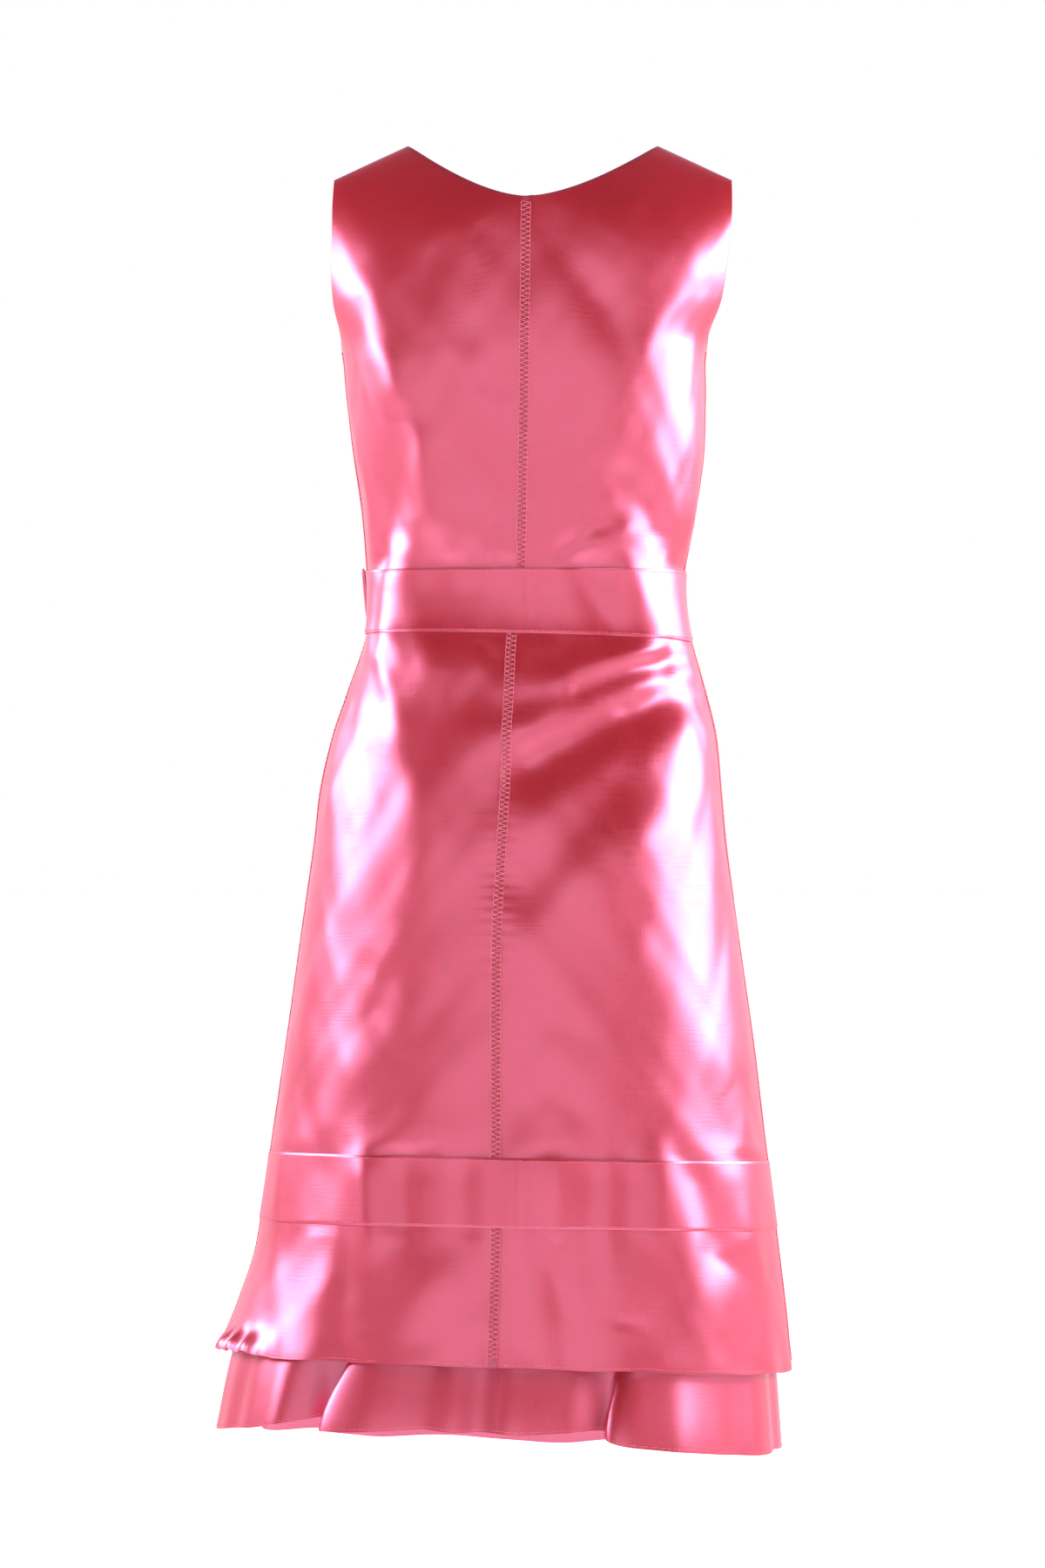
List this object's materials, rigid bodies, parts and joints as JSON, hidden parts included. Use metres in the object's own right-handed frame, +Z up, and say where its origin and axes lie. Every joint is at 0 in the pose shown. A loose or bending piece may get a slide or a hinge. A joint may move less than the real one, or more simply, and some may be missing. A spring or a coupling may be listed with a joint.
{
  "type": "silk satin knee-length dress",
  "caption": "Sleeveless belted satin dress with an A-line skirt, a ribbon band near the hem and an under-flounce, worn and hollow.",
  "frame": {"origin": "midway between the two shoulder seams, where the wearer's shoulders hold the dress", "axes": "+Z up, +Y towards the front of the dress, +X towards the wearer's right side"},
  "size_m": [0.4616, 0.3295, 1.0635],
  "materials": {
    "satin": "glossy coral-pink silk satin",
    "ribbon": "glossy coral-pink satin ribbon"
  },
  "bodies": {
    "root": {"back_left": "satin", "back_right": "satin", "front": "satin", "under_flounce": "satin", "belt": "ribbon", "bow_knot": "ribbon", "bow_loop_back": "ribbon", "bow_loop_front": "ribbon", "hem_band": "ribbon"}
  },
  "joints": []
}
